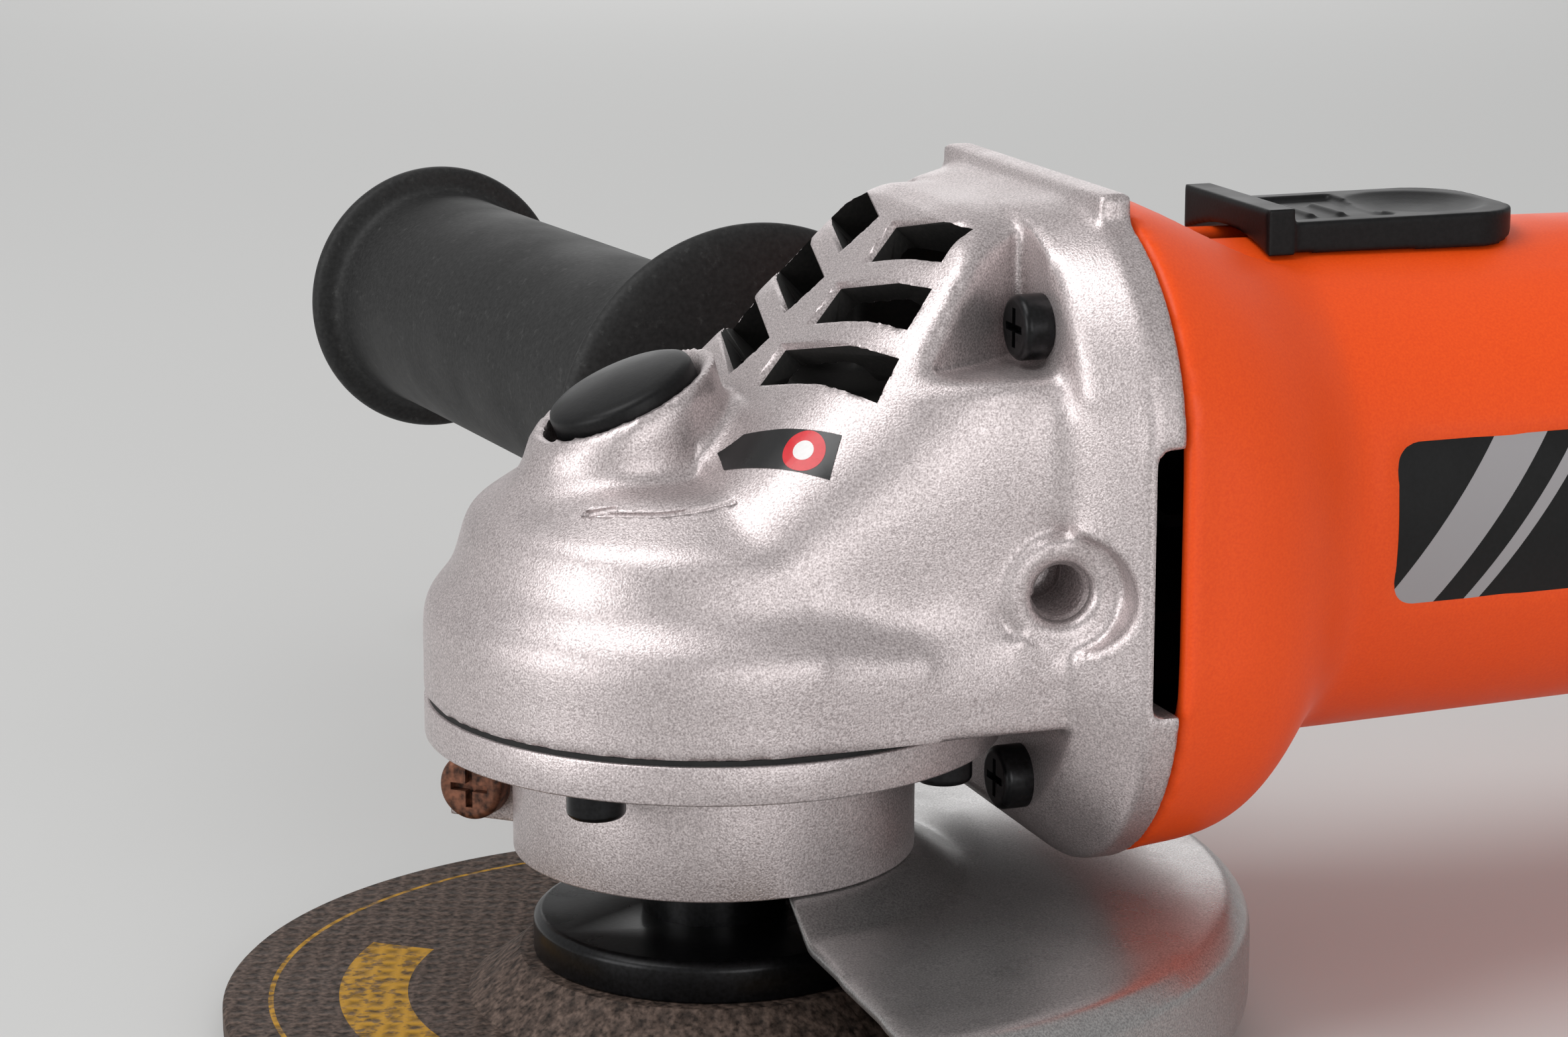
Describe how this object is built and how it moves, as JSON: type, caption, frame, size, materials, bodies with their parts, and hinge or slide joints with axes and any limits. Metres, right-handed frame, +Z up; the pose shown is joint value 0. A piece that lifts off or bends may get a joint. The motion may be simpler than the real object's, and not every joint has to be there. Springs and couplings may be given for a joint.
{
  "type": "angle grinder",
  "caption": "Corded hand-held angle grinder with a depressed-centre wheel, swivelling guard, side handle, slide switch and bevel drive.",
  "frame": {"origin": "spindle axis at the outer face of the clamp nut", "axes": "+Z up along the spindle towards the gear case, +X back along the motor housing, +Y towards the side handle"},
  "size_m": [0.2915, 0.2481, 0.0989],
  "materials": {
    "cast_aluminium": "shot-blasted casting",
    "steel": "turned and ground",
    "black_steel": "blackened",
    "guard_paint": "metallic silver paint",
    "orange_nylon": "fine moulded texture",
    "black_rubber": "matte",
    "black_plastic": "satin moulded",
    "resin_abrasive": "gritty resin with glass mesh",
    "copper": "enamelled or turned copper",
    "carbon": "pressed carbon",
    "gasket": "flat sheet"
  },
  "bodies": {
    "base": {"gear_case": "cast_aluminium", "bearing_cover": "cast_aluminium", "cover_gasket": "gasket", "cover_screws": "black_steel", "case_screws": "black_steel", "spindle_bearing": "steel", "bearing_snap_ring": "steel", "spindle_bush": "copper", "front_bearing": "steel", "rear_bearing": "steel", "rear_bearing_boot": "black_rubber", "stator_core": "steel", "field_coils": "copper", "brush_holders": "copper", "carbon_brushes": "carbon", "brush_springs": "steel", "motor_housing": "orange_nylon", "badge_plate": "black_plastic", "rear_cover": "orange_nylon", "rear_cover_screw": "black_steel", "inlet_bush": "black_rubber", "switch_body": "black_plastic", "lock_spring": "steel", "handle_grip": "black_rubber", "handle_stud": "steel"},
    "spindle": {"spindle": "steel", "bevel_gear": "steel", "gear_snap_ring": "steel", "inner_flange": "black_steel", "grinding_wheel": "resin_abrasive", "clamp_nut": "steel"},
    "armature": {"armature_shaft": "steel", "armature_core": "steel", "armature_windings": "copper", "commutator": "copper", "fan": "black_plastic", "bevel_pinion": "steel"},
    "lock": {"lock_button": "black_plastic", "lock_pin": "steel"},
    "slider": {"switch_slider": "black_plastic", "switch_rod": "black_plastic"},
    "guard": {"guard": "guard_paint", "guard_collar": "guard_paint", "guard_bolt": "black_steel", "guard_nut": "steel"}
  },
  "joints": [
    {"name": "spindle_spin", "type": "hinge", "parent": "base", "child": "spindle", "pos_m": [0, 0, 0], "axis": [0, 0, 1], "continuous": true},
    {"name": "armature_spin", "type": "hinge", "parent": "base", "child": "armature", "pos_m": [0, 0, 0.06], "axis": [1, 0, 0], "continuous": true},
    {"name": "lock_press", "type": "slide", "parent": "base", "child": "lock", "axis": [0, 0, -1], "range_m": [0, 0.003], "stiffness_N_per_m": 800, "springref_m": -0.003, "deforming": ["lock_spring"]},
    {"name": "switch_slide", "type": "slide", "parent": "base", "child": "slider", "axis": [-1, 0, 0], "range_m": [0, 0.0065]},
    {"name": "guard_swivel", "type": "hinge", "parent": "base", "child": "guard", "pos_m": [0, 0, 0], "axis": [0, 0, 1], "range_deg": [-60, 90]}
  ],
  "couplings": [
    {"joint": "armature_spin", "follows": "spindle_spin", "ratio": 3.6}
  ]
}
